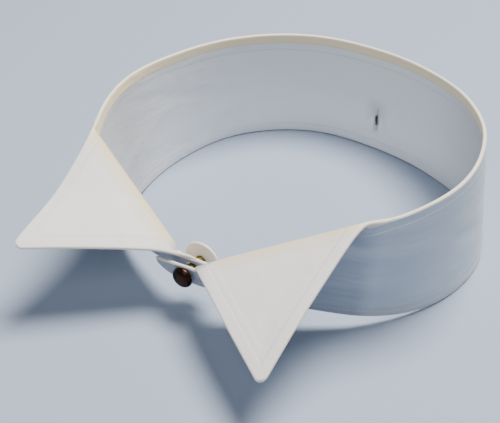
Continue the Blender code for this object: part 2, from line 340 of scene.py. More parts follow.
# Soft dents in the wings: along the fold from its start, away from it, half length, half width, lift, turn
WING_CREASES = {
    LEFT.side: [
        Crease(26, 20, 12, 3.0, -0.22, 55),
        Crease(36, 12, 9, 2.6, 0.16, 20),
        Crease(22, 33, 6, 2.2, 0.12, 70),
    ],
    RIGHT.side: [
        Crease(24, 17, 14, 3.2, -0.24, 62),
        Crease(38, 10, 9, 2.8, 0.16, 15),
        Crease(20, 8, 7, 2.4, 0.14, 40),
        Crease(31, 30, 7, 2.2, -0.12, 80),
    ],
}


def smooth_through(values, place):
    """A smooth curve through evenly spaced values; place is counted in steps from the first."""
    last = len(values) - 1
    i = min(max(int(math.floor(place)), 0), last - 1)
    t = place - i
    here, ahead = values[i], values[i + 1]
    behind = values[i - 1] if i > 0 else 2 * here - ahead
    beyond = values[i + 2] if i + 2 <= last else 2 * ahead - here
    bend = 2 * behind - 5 * here + 4 * ahead - beyond
    swing = 3 * (here - ahead) + beyond - behind
    return here + 0.5 * t * (ahead - behind + t * (bend + t * swing))


def smooth_between(start, start_pull, end, end_pull, t):
    """A curve that leaves start along start_pull and reaches end along end_pull."""
    square, cube = t * t, t * t * t
    return (
        start * (2 * cube - 3 * square + 1)
        + start_pull * (cube - 2 * square + t)
        + end * (3 * square - 2 * cube)
        + end_pull * (cube - square)
    )


def from_back(angle, radius, height):
    turn = math.radians(angle)
    return Vector((radius * math.sin(turn), radius * math.cos(turn), height))


def low_point(angle):
    place = (angle - RING[0].angle) / (RING[1].angle - RING[0].angle)
    radius = smooth_through([station.low_radius for station in RING], place)
    lift = max(0.0, abs(angle) - REST_ANGLE) / (FOLD_ANGLE - REST_ANGLE)
    return from_back(angle, radius, FRONT_LIFT * lift**2)


def top_point(angle):
    place = (angle - RING[0].angle) / (RING[1].angle - RING[0].angle)
    radius = smooth_through([station.top_radius for station in RING], place)
    height = smooth_through([station.top_height for station in RING], place)
    return from_back(angle, radius, height)


def tongue_down(front):
    """The way down the face of a tongue, which leans out at the top."""
    heading = front.tongue_heading
    inward = Vector((heading.y, -heading.x, 0)) * front.side
    return inward.normalized() * math.sin(TONGUE_LEAN) - Vector((0, 0, math.cos(TONGUE_LEAN)))


def band_under_fold(front, share):
    """(lower, upper) points of the band under the fold, from its start at 0 to its end at 1."""
    upper = top_point(front.side * FOLD_ANGLE).lerp(front.fold_end, share)
    start = low_point(front.side * FOLD_ANGLE)
    before = low_point(front.side * (FOLD_ANGLE - 1))
    end = front.fold_end + tongue_down(front) * TONGUE_DEPTH
    reach = (end - start).length
    start_pull = (start - before).normalized() * reach * LEAVING_PULL
    end_pull = front.tongue_heading.normalized() * reach * ARRIVING_PULL
    return smooth_between(start, start_pull, end, end_pull, share), upper


def tongue(front, share):
    """(lower, upper) points of the tongue, from the end of the fold at 0 to its own end at 1."""
    along = share * TONGUE_LENGTH
    upper = front.fold_end + front.tongue_heading.normalized() * along
    upper.z -= front.tongue_drop * share
    into_nose = max(0.0, along - (TONGUE_LENGTH - TONGUE_NOSE)) / TONGUE_NOSE
    depth = TONGUE_DEPTH * math.sqrt(max(0.0, 1 - into_nose**2))
    return upper + tongue_down(front) * max(depth, TONGUE_END_DEPTH), upper


def spread(length, middle):
    """Places from 0 to length: crowded near each end, where the edge is rounded, and even in the middle."""
    ends = [min(step, length * share) for step, share in zip(EDGE_STEPS, EDGE_SHARES)]
    gap = length - 2 * ends[-1]
    even = [ends[-1] + gap * k / (middle + 1) for k in range(1, middle + 1)]
    return ends + even + [length - end for end in reversed(ends)]


Column = namedtuple("Column", "lower upper along open_top open_end")


def band_columns():
    """Every column of the band, from the end of the left tongue to the end of the right one."""
    widest = max(station.low_radius for station in RING)
    steps = 2 * math.ceil(math.radians(FOLD_ANGLE) * widest / COLUMN_STEP)
    tongue_shares = [1 - (1 - k / TONGUE_COLUMNS) ** TONGUE_CROWDING for k in range(1, TONGUE_COLUMNS + 1)]

    def half(front):
        """Columns from the centre back to the end of one tongue."""
        places = []
        for k in range(steps // 2):
            angle = front.side * FOLD_ANGLE * 2 * k / steps
            places.append((low_point(angle), top_point(angle), None, None))
        fold = (front.fold_end - top_point(front.side * FOLD_ANGLE)).length
        for place in spread(fold, FOLD_COLUMNS):
            places.append((*band_under_fold(front, place / fold), min(place, fold - place), None))
        for share in tongue_shares:
            places.append((*tongue(front, share), None, (1 - share) * TONGUE_LENGTH))
        made = []
        along = 0.0
        before = None
        for lower, upper, covered, to_end in places:
            middle = (lower + upper) / 2
            along += (middle - before).length if before else 0
            before = middle
            made.append(Column(lower, upper, front.side * along, covered, to_end))
        return made

    left, right = half(LEFT), half(RIGHT)
    return list(reversed(left)) + right[1:]


def eased(share):
    """0 up to 0 and 1 from 1 on, smoothly between."""
    share = min(max(share, 0), 1)
    return share * share * (3 - 2 * share)


def fold_radius(place, left):
    """The radius of a fold, at a distance from its start and with a distance left to its end."""
    opened = FOLD_END_RADIUS + (FOLD_RADIUS - FOLD_END_RADIUS) * eased(left / FOLD_END_REACH)
    return opened + FOLD_ROLL * math.exp(-(((place - FOLD_ROLL_PLACE) / FOLD_ROLL_REACH) ** 2))


class Wing:
    """One turned-over wing, laid out flat by the distance along its fold and the distance away from it."""

    def __init__(self, front, columns):
        self.front = front
        self.start = top_point(front.side * FOLD_ANGLE)
        self.length = (front.fold_end - self.start).length
        self.along = (front.fold_end - self.start) / self.length
        self.foot = (front.wing_tip - self.start).dot(self.along)
        reach = front.wing_tip - self.start - self.along * self.foot
        up, out = self.across(self.foot)
        angle = math.atan2(reach.dot(out), reach.dot(up))
        self.turn = angle - math.asin(FOLD_RADIUS * (math.cos(angle) - 1) / reach.length)
        self.flat = up * math.cos(self.turn) + out * math.sin(self.turn)
        self.depth = reach.dot(self.flat) - FOLD_RADIUS * (math.sin(self.turn) - self.turn)
        self.outer_slope = self.foot / self.depth
        self.front_slope = (self.length - self.foot) / self.depth
        self.lead_width = FOLD_RADIUS * self.turn * LEAD_ROWS / FOLD_ROWS
        self.tip_half_angle = 0.5 * (math.atan(self.outer_slope) + math.atan(self.front_slope))
        self.tip_centre = TIP_RADIUS / math.sin(self.tip_half_angle)
        nearest = min(columns, key=lambda column: (column.upper - self.start).length)
        self.band_along = nearest.along
        self.face = self.along.cross(self.flat)
        if self.face.z < 0:
            self.face.negate()

    def across(self, place):
        """Up the band and out of it, both square to the fold, at a distance along the fold."""
        lower, upper = band_under_fold(self.front, min(max(place / self.length, 0), 1))
        up = upper - lower
        up = (up - self.along * up.dot(self.along)).normalized()
        out = self.along.cross(up).normalized()
        if out.dot(Vector((upper.x, upper.y, 0))) < 0:
            out.negate()
        return up, out

    def edges(self, away):
        """Where the wing's outer and front edges lie along the fold, at a distance away from it."""
        left = self.depth - away
        middle = self.foot + left * (self.front_slope - self.outer_slope) / 2
        half = left * (self.front_slope + self.outer_slope) / 2
        if left < self.tip_centre - TIP_RADIUS * math.sin(self.tip_half_angle):
            chord = math.sqrt(max(TIP_RADIUS**2 - (self.tip_centre - left) ** 2, 0))
            half *= chord / (left * math.tan(self.tip_half_angle))
        hollow = self.front.edge_hollow * math.sin(math.pi * away / self.depth) ** 2
        past_lead = away - self.lead_width
        if past_lead < SAME_PLACE:
            return 0.0, self.length if self.front.runs_on else middle + half
        flare = self.lead_width * math.exp(-past_lead / LEAD_FADE)
        ahead = flare * self.front_slope if self.front.runs_on else 0
        return middle - half + hollow - flare * self.outer_slope, middle + half + ahead

    def point(self, place, away):
        """The point on the wing that lies flat at these distances along the fold and away from it."""
        up, out = self.across(place)
        turn = math.atan2(self.flat.dot(out), self.flat.dot(up))
        radius = fold_radius(place, self.length - place)
        bent = min(away / radius, turn)
        base = self.start + self.along * place
        base += (up * math.sin(bent) + out * (1 - math.cos(bent))) * radius
        straight = away - radius * turn
        if straight <= 0:
            return base
        first, last = self.edges(away)
        outer = min(max((last - place) / max(last - first, SAME_PLACE), 0), 1)
        middle = math.sin(math.pi * away / self.depth)
        lift = WING_BOW * middle - self.front.edge_dip * (outer * middle) ** 2
        return base + self.flat * straight + self.face * lift

    def lead_point(self, column, tangent, place, gap, away):
        """A point on the turned edge of the rim, at a gap from the fold's start or end at place."""
        if gap < SAME_PLACE:
            return self.point(place, away)
        up, out = self.across(place)
        turn = math.atan2(self.flat.dot(out), self.flat.dot(up))
        axis = self.along.lerp(tangent, eased(gap / LEAD_TURN)).normalized()
        up = column.upper - column.lower
        up = (up - axis * up.dot(axis)).normalized()
        out = axis.cross(up).normalized()
        if out.dot(Vector((column.upper.x, column.upper.y, 0))) < 0:
            out.negate()
        radius = fold_radius(place, self.length - place)
        bent = min(away / radius, turn)
        base = column.upper + (up * math.sin(bent) + out * (1 - math.cos(bent))) * radius
        straight = max(away - radius * turn, 0)
        return base + (up * math.cos(turn) + out * math.sin(turn)) * straight

    def rows(self):
        """Distances away from the fold for each row of the wing, round the fold and on to the tip."""
        round_fold = [FOLD_RADIUS * self.turn * k / FOLD_ROWS for k in range(FOLD_ROWS + 1)]
        first = round_fold[-1]
        touch = self.depth - self.tip_centre + TIP_RADIUS * math.sin(self.tip_half_angle)
        far = self.depth - self.tip_centre + TIP_RADIUS
        flat = [first + (touch - first) * k / WING_ROWS for k in range(1, WING_ROWS + 1)]
        return round_fold + flat + [touch + (far - touch) * share for share in TIP_ROW_SHARES]

    def edge_gap(self, place, away):
        """How far a point of the wing is from its nearer edge, in the flat."""
        outer = (place - away * self.outer_slope) * math.cos(math.atan(self.outer_slope))
        front = (self.length - place - away * self.front_slope) * math.cos(math.atan(self.front_slope))
        return max(min(outer, front), 0)


FACTS = ("along", "up", "top_gap", "edge_gap", "away", "seam_gap")


def shaped_grid(mesh, columns, rows, place):
    """Adds a grid of points, and puts each where place(column, row) says, with its facts."""
    layers = [mesh.verts.layers.float[fact] for fact in FACTS]
    made = bmesh.ops.create_grid(mesh, x_segments=columns - 1, y_segments=rows - 1, size=1)["verts"]
    for vert in made:
        column = round((vert.co.x + 1) / 2 * (columns - 1))
        row = round((vert.co.y + 1) / 2 * (rows - 1))
        vert.co, facts = place(column, row)
        for layer, fact in zip(layers, facts):
            vert[layer] = fact


def crease_lift(creases, along, up):
    lift = 0.0
    for crease in creases:
        turn = math.radians(crease.turn)
        x, y = along - crease.along, up - crease.up
        lengthways = (x * math.cos(turn) + y * math.sin(turn)) / crease.length
        crossways = (y * math.cos(turn) - x * math.sin(turn)) / crease.width
        lift += crease.lift * math.exp(-(lengthways**2) - crossways**2)
    return lift


def lip_gape(rise):
    """How far each lip of the back buttonhole stands from its middle line, at a height from its middle."""
    gape = BACK_HOLE_SHUT + BACK_HOLE_GAPE * math.exp(-((rise / BACK_HOLE_GAPE_REACH) ** 2))
    return gape * math.sqrt(max(0.0, 1 - (rise / BACK_HOLE_HALF_LENGTH) ** 2))


def open_buttonhole(mesh, along, up):
    """Slits the band up the centre back and eases the two lips apart."""
    half = BACK_HOLE_HALF_LENGTH
    line = [v for v in mesh.verts if abs(v[along]) < SAME_PLACE and abs(v[up] - BACK_HOLE_HEIGHT) < half]
    inside = set(line)
    slit = [e for e in mesh.edges if e.verts[0] in inside and e.verts[1] in inside]
    bmesh.ops.split_edges(mesh, edges=slit)
    for vert in mesh.verts:
        rise = vert[up] - BACK_HOLE_HEIGHT
        if abs(rise) > half + COLUMN_STEP or abs(vert[along]) > BACK_HOLE_COLUMNS * COLUMN_STEP:
            continue
        gape = lip_gape(rise)
        side = sum((face.calc_center_median() - vert.co).x for face in vert.link_faces)
        if vert.is_boundary or abs(vert[along]) > SAME_PLACE:
            vert.co.x += math.copysign(gape * math.exp(-((vert[along] / BACK_HOLE_EASE) ** 2)), side)


def cloth_sheet():
    """The middle surface of the whole cloth as one open sheet with its creases, and its two wings."""
    mesh = bmesh.new()
    for fact in FACTS:
        mesh.verts.layers.float.new(fact)
    columns = band_columns()
    heights = [spread((column.upper - column.lower).length, BODY_ROWS) for column in columns]

    def band_place(index, row):
        column = columns[index]
        high = heights[index][-1]
        up = heights[index][row]
        down = high - up
        top_gap = down if column.open_top is None else math.hypot(down, column.open_top)
        end_gap = high if column.open_end is None else column.open_end
        facts = (column.along, up, down, min(up, top_gap, end_gap), 0, min(up, top_gap))
        return column.lower.lerp(column.upper, up / high), facts

    shaped_grid(mesh, len(columns), len(heights[0]), band_place)
    wings = [Wing(front, columns) for front in (LEFT, RIGHT)]
    for wing in wings:
        away = wing.rows()

        def wing_place(column, row):
            first, last = wing.edges(away[row]) if row else (0, wing.length)
            place = first + spread(last - first, FOLD_COLUMNS)[column]
            lower, upper = band_under_fold(wing.front, min(max(place / wing.length, 0), 1))
            gap = wing.edge_gap(place, away[row])
            along = wing.band_along + wing.front.side * place
            facts = (along, (upper - lower).length + away[row], 0, gap, away[row], gap)
            return wing.point(place, away[row]), facts

        shaped_grid(mesh, len(spread(1, FOLD_COLUMNS)), len(away), wing_place)
        turn_rim(mesh, wing, columns, away, 0)
        if wing.front.runs_on:
            turn_rim(mesh, wing, columns, away, wing.length)
    bmesh.ops.remove_doubles(mesh, verts=mesh.verts, dist=SAME_PLACE)
    bmesh.ops.recalc_face_normals(mesh, faces=mesh.faces)
    if sum(face.normal.dot(Vector((*face.calc_center_median().xy, 0))) for face in mesh.faces) < 0:
        bmesh.ops.reverse_faces(mesh, faces=mesh.faces)
    crease(mesh, wings)
    open_buttonhole(mesh, mesh.verts.layers.float["along"], mesh.verts.layers.float["up"])
    return mesh, wings


def turn_rim(mesh, wing, columns, away, place):
    """Adds the narrow turned edge that leads into a wing's fold at its start, or out of it at its end."""
    side = wing.front.side
    edge = wing.start + wing.along * place
    end = min(columns, key=lambda column: (column.upper - edge).length).along * side
    onward = -1 if place else 1

    def gap_of(column):
        return (end - column.along * side) * onward

    lead = [column for column in columns if -SAME_PLACE < gap_of(column) < LEAD_REACH]
    lead.sort(key=gap_of, reverse=True)

    def lead_place(index, row):
        column = lead[index]
        ahead, behind = lead[min(index + 1, len(lead) - 1)], lead[max(index - 1, 0)]
        tangent = (ahead.upper - behind.upper).normalized() * onward
        gap = max(gap_of(column), 0)
        share = (1 - gap / gap_of(lead[0])) ** LEAD_GROWTH
        to_edge = (wing.lead_width - away[row]) * share
        reach = away[row] * share
        facts = (column.along, (column.upper - column.lower).length + reach, 0, to_edge, reach, to_edge)
        return wing.lead_point(column, tangent, place, gap, reach), facts

    shaped_grid(mesh, len(lead), LEAD_ROWS + 1, lead_place)


def crease(mesh, wings):
    """Moves the sheet out and in along its creases."""
    along, up, away = (mesh.verts.layers.float[fact] for fact in ("along", "up", "away"))
    edge_gap = mesh.verts.layers.float["edge_gap"]
    mesh.normal_update()
    for vert in mesh.verts:
        wing = wings[0] if vert[along] < 0 else wings[1]
        if vert[away] > 0:
            place = abs(vert[along] - wing.band_along)
            lift = -crease_lift(WING_CREASES[wing.front.side], place, vert[away])
        else:
            lift = crease_lift(CREASES, vert[along], vert[up])
            lift += RIPPLE_LIFT * noise.noise(vert.co * RIPPLE_SCALE)
            lift *= min(vert[up] / RESTING_EDGE, 1)
        vert.co += vert.normal * lift * min(STILL_EDGE_SHARE + vert[edge_gap] / FREE_FROM_EDGE, 1)


def edge_thickness(mesh):
    """How much of the full thickness the cloth has at each point, so that its edges are rounded."""
    rim = [v.co.copy() for v in mesh.verts if v.is_boundary]
    tree = KDTree(len(rim))
    for i, co in enumerate(rim):
        tree.insert(co, i)
    tree.balance()
    half = CLOTH_THICKNESS / 2
    shares = []
    for vert in mesh.verts:
        inward = min(tree.find(vert.co)[2] / half, 1)
        shares.append(max(math.sqrt(1 - (1 - inward) ** 2), EDGE_FLOOR))
    return shares


def collection_for_collar():
    collection = bpy.data.collections.new("detachable_wing_collar")
    bpy.context.scene.collection.children.link(collection)
    return collection


def finished_object(name, mesh, collection):
    """Makes a smooth object, with its place in its mesh, of a mesh in millimetres from the neck's centre."""
    bmesh.ops.transform(mesh, matrix=Matrix.Scale(MM, 4) @ Matrix.Translation(NECK_CENTRE), verts=mesh.verts)
    data = bpy.data.meshes.new(name)
    mesh.to_mesh(data)
    mesh.free()
    data.shade_smooth()
    made = bpy.data.objects.new(name, data)
    collection.objects.link(made)
    return made


def settle_modifiers(made):
    bpy.context.view_layer.update()
    graph = bpy.context.evaluated_depsgraph_get()
    finished = bpy.data.meshes.new_from_object(made.evaluated_get(graph))
    finished.name = made.name
    made.modifiers.clear()
    made.data = finished


def stud_frame():
    """Where the stud is and how it is turned, from its head towards its plate."""
    axis = (STUD_PLATE_CENTRE - STUD_HEAD_CENTRE).normalized()
    middle = (STUD_HEAD_CENTRE + STUD_PLATE_CENTRE) / 2
    return Matrix.Translation(middle) @ axis.to_track_quat("Z", "Y").to_matrix().to_4x4()


def make_cloth(collection):
    """The whole cloth as one thin shell with rounded edges and its three buttonholes."""
    sheet, wings = cloth_sheet()
    shares = edge_thickness(sheet)
    count = len(sheet.verts)
    cloth = finished_object("starched_linen_collar", sheet, collection)
    group = cloth.vertex_groups.new(name="wall")
    for i, share in enumerate(shares):
        group.add([i], share, "REPLACE")
    wall = cloth.modifiers.new("cloth thickness", "SOLIDIFY")
    wall.thickness = CLOTH_THICKNESS * MM
    wall.offset = 0
    wall.vertex_group = "wall"
    settle_modifiers(cloth)
    cloth.vertex_groups.clear()
    inner = cloth.data.attributes.new("inner", "FLOAT", "POINT")
    inner.data.foreach_set("value", [0.0] * count + [1.0] * (len(cloth.data.vertices) - count))
    cut_front_buttonholes(cloth)
    return cloth, wings


def cut_front_buttonholes(cloth):
    cutter = bmesh.new()
    bmesh.ops.create_cone(
        cutter, cap_ends=True, segments=HOLE_SIDES, radius1=1, radius2=1, depth=FRONT_HOLE_REACH
    )
    bmesh.ops.scale(cutter, vec=(FRONT_HOLE_HALF_WIDTH, FRONT_HOLE_HALF_HEIGHT, 1), verts=cutter.verts)
    bmesh.ops.transform(cutter, matrix=stud_frame(), verts=cutter.verts)
    oval = finished_object("front_buttonhole_cutter", cutter, bpy.context.scene.collection)
    modifier = cloth.modifiers.new("front buttonholes", "BOOLEAN")
    modifier.operation = "DIFFERENCE"
    modifier.solver = "EXACT"
    modifier.object = oval
    settle_modifiers(cloth)
    cloth.data.set_sharp_from_angle(angle=SHARP_ANGLE)
    bpy.data.objects.remove(oval, do_unlink=True)


def rounded(profile, radius, thickness):
    """A profile in millimetres with smooth steps between its rings."""
    count = (len(profile) - 1) * PROFILE_STEPS
    rings = []
    for k in range(count + 1):
        place = k / PROFILE_STEPS
        width = smooth_through([ring.radius for ring in profile], place)
        depth = smooth_through([ring.depth for ring in profile], place)
        rings.append(Ring(max(width, 0) * radius, depth * thickness / 2))
    return rings


def turned_piece(name, profile, centre, collection):
    """A round piece turned about the stud's axis from its profile in millimetres."""
    mesh = bmesh.new()
    verts = [mesh.verts.new((ring.radius, 0, ring.depth)) for ring in profile]
    line = [mesh.edges.new(ends) for ends in zip(verts, verts[1:])]
    bmesh.ops.spin(
        mesh,
        geom=verts + line,
        cent=(0, 0, 0),
        axis=(0, 0, 1),
        angle=2 * math.pi,
        steps=STUD_STEPS,
        use_merge=True,
    )
    bmesh.ops.remove_doubles(mesh, verts=mesh.verts, dist=SAME_PLACE)
    bmesh.ops.recalc_face_normals(mesh, faces=mesh.faces)
    turn = stud_frame().to_3x3().to_4x4()
    bmesh.ops.transform(mesh, matrix=Matrix.Translation(centre) @ turn, verts=mesh.verts)
    made = finished_object(name, mesh, collection)
    made.data.set_sharp_from_angle(angle=SHARP_ANGLE)
    return made


def make_stud(collection):
    """The stud's three turned pieces."""
    plate = rounded(PLATE_PROFILE, PLATE_RADIUS, PLATE_THICKNESS)
    head = rounded(HEAD_PROFILE, HEAD_RADIUS, HEAD_THICKNESS)
    start = head[0].depth + SEAT_GAP
    end = (STUD_PLATE_CENTRE - STUD_HEAD_CENTRE).length + plate[-1].depth - SEAT_GAP
    post = [Ring(0, end), Ring(POST_RADIUS, end), Ring(POST_RADIUS, start), Ring(0, start)]
    parts = [
        ("stud_back_plate", plate, STUD_PLATE_CENTRE, "stud_plate", "bone", bone_finish),
        ("stud_pin", post, STUD_HEAD_CENTRE, "stud_post", "brass", brass_finish),
        ("stud_dome", head, STUD_HEAD_CENTRE, "stud_head", "darkened_copper", copper_finish),
    ]
    for name, profile, centre, node, slot, finish in parts:
        piece = turned_piece(name, profile, centre, collection)
        give(piece, finish())
        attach(piece, "root")
        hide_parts(node)


def surface_of(cloth):
    """A tree that finds the nearest point on the cloth, in millimetres from the centre of the neck."""
    points = [v.co / MM - NECK_CENTRE for v in cloth.data.vertices]
    return BVHTree.FromPolygons(points, [list(p.vertices) for p in cloth.data.polygons])


def seam_lines(columns, wings):
    """Each stitched line as points on the middle surface."""

    def along_band(gap, from_top):
        line = []
        for column in columns:
            high = (column.upper - column.lower).length
            if high < ROOM_FOR_SEAM * gap or (from_top and abs(column.along) > LINES_END):
                continue
            start, end = (column.upper, column.lower) if from_top else (column.lower, column.upper)
            line.append(start.lerp(end, gap / high))
        return line

    lines = [along_band(TOP_SEAM, True), along_band(LOW_SEAM, False)]
    for wing in wings:
        for slope, sign, origin in ((wing.outer_slope, 1, 0), (wing.front_slope, -1, wing.length)):
            shift = WING_SEAM / math.cos(math.atan(slope))
            line = []
            for k in range(WING_SEAM_STEPS):
                away = WING_SEAM_START + (wing.depth - WING_SEAM_START) * k / WING_SEAM_STEPS
                place = origin + sign * (shift + away * slope)
                if wing.edge_gap(place, away) > WING_SEAM - SEAM_SLACK:
                    line.append(wing.point(place, away))
            lines.append(line)
    return lines


def evenly(line, pitch):
    """(point, way on) at an even pitch along a line of points."""
    made = []
    left = pitch / 2
    for start, end in zip(line, line[1:]):
        span = (end - start).length
        way = (end - start) / span if span else Vector((1, 0, 0))
        while left <= span:
            made.append((start + way * left, way))
            left += pitch
        left -= span
    return made


def plain_stitch():
    """One stitch of length, width and height 2, as a mesh to copy."""
    mesh = bmesh.new()
    bmesh.ops.create_uvsphere(mesh, u_segments=STITCH_SIDES, v_segments=STITCH_RINGS, radius=1)
    data = bpy.data.meshes.new("plain stitch")
    mesh.to_mesh(data)
    mesh.free()
    return data


def lay_stitch(mesh, pattern, surface, point, way, length, width, height):
    """One stitch on each face of the cloth that is near the point."""
    near, normal, _, _ = surface.find_nearest(point)
    if near is None:
        return
    side = normal.normalized()
    for out in (side, -side):
        hit, face_normal, _, _ = surface.find_nearest(point + out * CLOTH_THICKNESS)
        if hit is None or (hit - point).length > CLOTH_THICKNESS or face_normal.dot(out) < LEAST_FACING:
            continue
        ahead = (way - face_normal * way.dot(face_normal)).normalized()
        turn = Matrix((ahead, face_normal.cross(ahead), face_normal)).transposed().to_4x4()
        size = Matrix.Diagonal((length / 2, width / 2, height, 1))
        stitch = pattern.copy()
        stitch.transform(Matrix.Translation(hit) @ turn @ size)
        mesh.from_mesh(stitch)
        bpy.data.meshes.remove(stitch)


def make_edge_stitching(collection, surface, lines):
    mesh = bmesh.new()
    pattern = plain_stitch()
    for line in lines:
        for point, way in evenly(line, STITCH_PITCH):
            lay_stitch(mesh, pattern, surface, point, way, STITCH_LENGTH, STITCH_WIDTH, STITCH_HEIGHT)
    return finished_object("edge_stitching", mesh, collection)


def make_buttonhole_stitching(collection, surface):
    """Threads that bind the edges of the back buttonhole."""
    mesh = bmesh.new()
    pattern = plain_stitch()
    low, top = low_point(0), top_point(0)
    high = (top - low).length
    across = Vector((1, 0, 0))
    lip_size = (LIP_STITCH_LENGTH, LIP_STITCH_WIDTH, LIP_STITCH_HEIGHT)
    bar_size = (2 * LIP_STITCH_LENGTH, BAR_WIDTH, BAR_HEIGHT)
    for k in range(LIP_STITCHES + 1):
        rise = BACK_HOLE_HALF_LENGTH * (2 * k / LIP_STITCHES - 1)
        middle = low.lerp(top, (BACK_HOLE_HEIGHT + rise) / high)
        for side in (-1, 1):
            point = middle + across * side * (lip_gape(rise) + LIP_STITCH_LENGTH / 2 + LIP_MARGIN)
            lay_stitch(mesh, pattern, surface, point, across, *lip_size)
    for end in (-1, 1):
        middle = low.lerp(top, (BACK_HOLE_HEIGHT + end * (BACK_HOLE_HALF_LENGTH + BAR_GAP)) / high)
        lay_stitch(mesh, pattern, surface, middle, across, *bar_size)
    return finished_object("buttonhole_stitching", mesh, collection)


class Term:
    """A number socket that sums, products and comparisons can be written with."""

    def __init__(self, shader, socket):
        self.shader = shader
        self.socket = socket

    def work(self, operation, *others):
        return self.shader.maths(operation, self, *others)

    def __add__(self, other):
        return self.work("ADD", other)

    def __radd__(self, other):
        return self.work("ADD", other)

    def __sub__(self, other):
        return self.work("SUBTRACT", other)

    def __rsub__(self, other):
        return self.shader.maths("SUBTRACT", other, self)

    def __mul__(self, other):
        return self.work("MULTIPLY", other)

    def __rmul__(self, other):
        return self.work("MULTIPLY", other)

    def sine(self):
        return self.work("SINE")

    def size(self):
        return self.work("ABSOLUTE")

    def step(self, start, end):
        """0 before start and 1 after end, smoothly. start may be above end."""
        socket = self.shader.node(
            "ShaderNodeMapRange",
            {"interpolation_type": "SMOOTHSTEP"},
            {"Value": self, "From Min": min(start, end), "From Max": max(start, end)},
        ).outputs["Result"]
        made = Term(self.shader, socket)
        return made if start < end else 1 - made

    def band(self, middle, half):
        """1 at middle, falling smoothly to 0 at half to each side."""
        return (self - middle).size().step(half, 0)


class Finish:
    """One material, built node by node."""

    def __init__(self, name):
        self.material = bpy.data.materials.new(name)
        self.material.use_nodes = True
        self.tree = self.material.node_tree
        self.shader = self.tree.nodes["Principled BSDF"]

    def node(self, kind, settings=None, inputs=None):
        made = self.tree.nodes.new(kind)
        for key, value in (settings or {}).items():
            setattr(made, key, value)
        for key, value in (inputs or {}).items():
            self.feed(made.inputs[key], value)
        return made

    def feed(self, socket, value):
        if isinstance(value, Term):
            value = value.socket
        if isinstance(value, bpy.types.NodeSocket):
            self.tree.links.new(value, socket)
        elif isinstance(value, tuple) and len(value) == 3 and socket.type == "RGBA":
            socket.default_value = (*value, 1)
        else:
            socket.default_value = value

    def maths(self, operation, *values):
        made = self.node("ShaderNodeMath", {"operation": operation}, dict(enumerate(values)))
        return Term(self, made.outputs[0])

    def fact(self, name):
        made = self.node("ShaderNodeAttribute", {"attribute_name": name})
        return Term(self, made.outputs["Fac"])

    def place(self):
        return self.node("ShaderNodeTexCoord").outputs["Object"]

    def grain(self, place, scale, detail=3.0, roughness=0.5, stretch=None):
        """Soft noise from 0 to 1, with scale in lumps per metre."""
        if stretch:
            mapped = self.node("ShaderNodeVectorMath", {"operation": "MULTIPLY"}, {0: place, 1: stretch})
            place = mapped.outputs[0]
        made = self.node(
            "ShaderNodeTexNoise",
            {},
            {"Vector": place, "Scale": scale, "Detail": detail, "Roughness": roughness},
        )
        return Term(self, made.outputs["Fac"])

    def joined(self, *lengths):
        made = self.node("ShaderNodeCombineXYZ", {}, dict(enumerate(lengths)))
        return made.outputs["Vector"]

    def mix(self, share, first, second):
        made = self.node("ShaderNodeMix", {"data_type": "RGBA"}, {"Factor": share})
        colours = [socket for socket in made.inputs if socket.type == "RGBA"]
        self.feed(colours[0], first)
        self.feed(colours[1], second)
        return next(socket for socket in made.outputs if socket.type == "RGBA")

    def bump(self, height, distance, strength=1.0, normal=None):
        inputs = {"Height": height, "Distance": distance, "Strength": strength}
        if normal is not None:
            inputs["Normal"] = normal
        return self.node("ShaderNodeBump", {}, inputs).outputs["Normal"]

    def set(self, **sockets):
        for key, value in sockets.items():
            self.feed(self.shader.inputs[key.replace("_", " ")], value)
        return self.material


